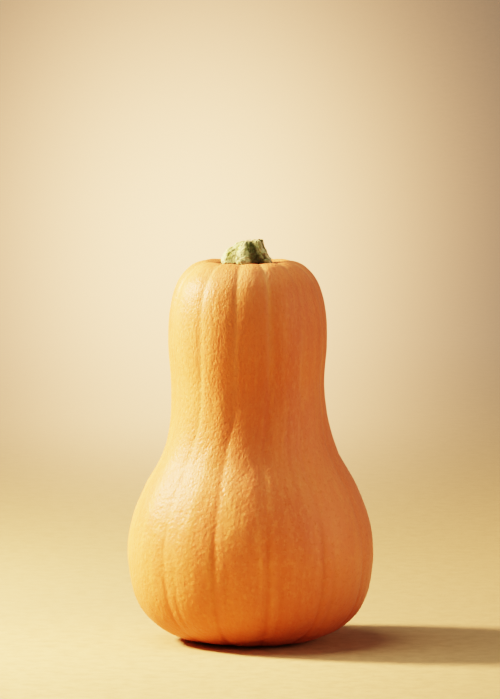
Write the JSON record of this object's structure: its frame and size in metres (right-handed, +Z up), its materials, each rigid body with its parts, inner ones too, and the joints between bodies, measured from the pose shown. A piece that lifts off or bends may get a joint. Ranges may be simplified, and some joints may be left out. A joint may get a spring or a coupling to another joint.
{
  "type": "butternut squash",
  "caption": "Whole butternut squash with a shallowly grooved skin and a dry stem stub, standing on its blossom end.",
  "frame": {"origin": "under the middle of the bulb, on the surface that the squash stands on", "axes": "+Z up from the blossom end to the stem, -Y to the front, +X to the right"},
  "size_m": [0.1275, 0.1276, 0.2087],
  "materials": {
    "skin": "satin, waxy",
    "stem": "dry, rough"
  },
  "bodies": {
    "root": {"fruit": "skin", "stem": "stem"}
  },
  "joints": []
}
